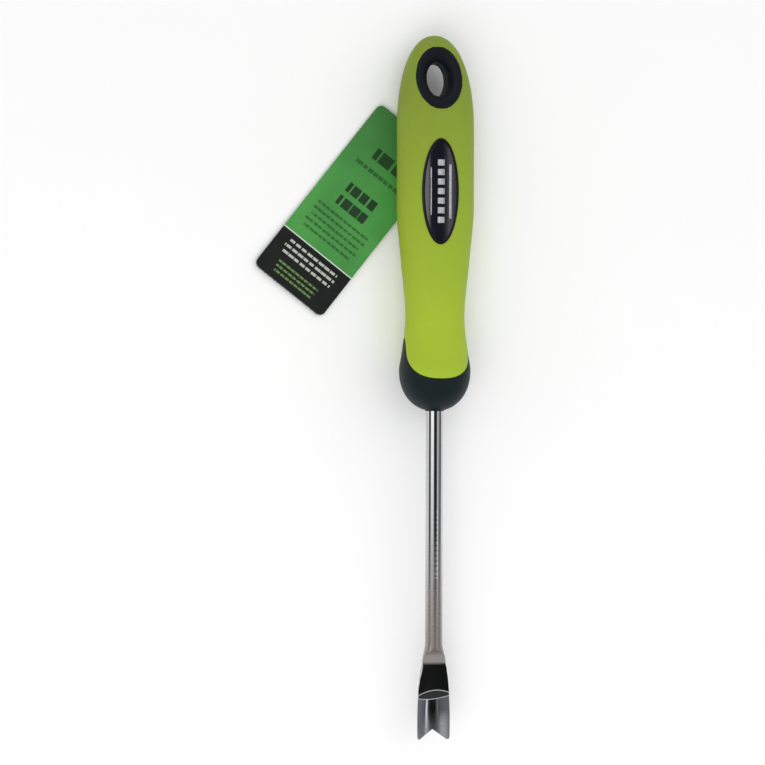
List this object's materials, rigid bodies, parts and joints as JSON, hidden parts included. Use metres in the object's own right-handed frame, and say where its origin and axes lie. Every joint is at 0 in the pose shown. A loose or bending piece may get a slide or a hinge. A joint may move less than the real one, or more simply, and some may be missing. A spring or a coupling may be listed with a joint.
{
  "type": "hand weeder",
  "caption": "Hand weeder with a forked, dished blade on a round bar, a soft two-colour grip with a hang hole and an oval badge, and a card swing tag.",
  "frame": {"origin": "middle of the hang hole, at mid-thickness of the head", "axes": "+Z out of the handle's front face, +Y along the tool towards the top of the handle, +X to the right; the tool lies on its back"},
  "size_m": [0.1007, 0.3294, 0.0332],
  "materials": {
    "steel": "mirror polished stainless",
    "core": "as moulded",
    "lime_grip": "soft matte",
    "dark_grip": "soft satin",
    "badge_black": "gloss",
    "foil": "silver foil",
    "card": "coated card"
  },
  "bodies": {
    "tool": {"forged_bar": "steel", "handle_core": "core", "grip_sleeve": "lime_grip", "end_bolster": "dark_grip", "hang_eyelet": "dark_grip", "badge_bezel": "dark_grip", "badge_plate": "badge_black", "badge_foil": "foil"},
    "tag": {"tag_card": "card"}
  },
  "joints": [
    {"name": "tag_swing", "type": "hinge", "parent": "tool", "child": "tag", "pos_m": [-0.0118, -0.0269, -0.01395], "axis": [0, 0, 1], "range_deg": [-30, 82]}
  ]
}
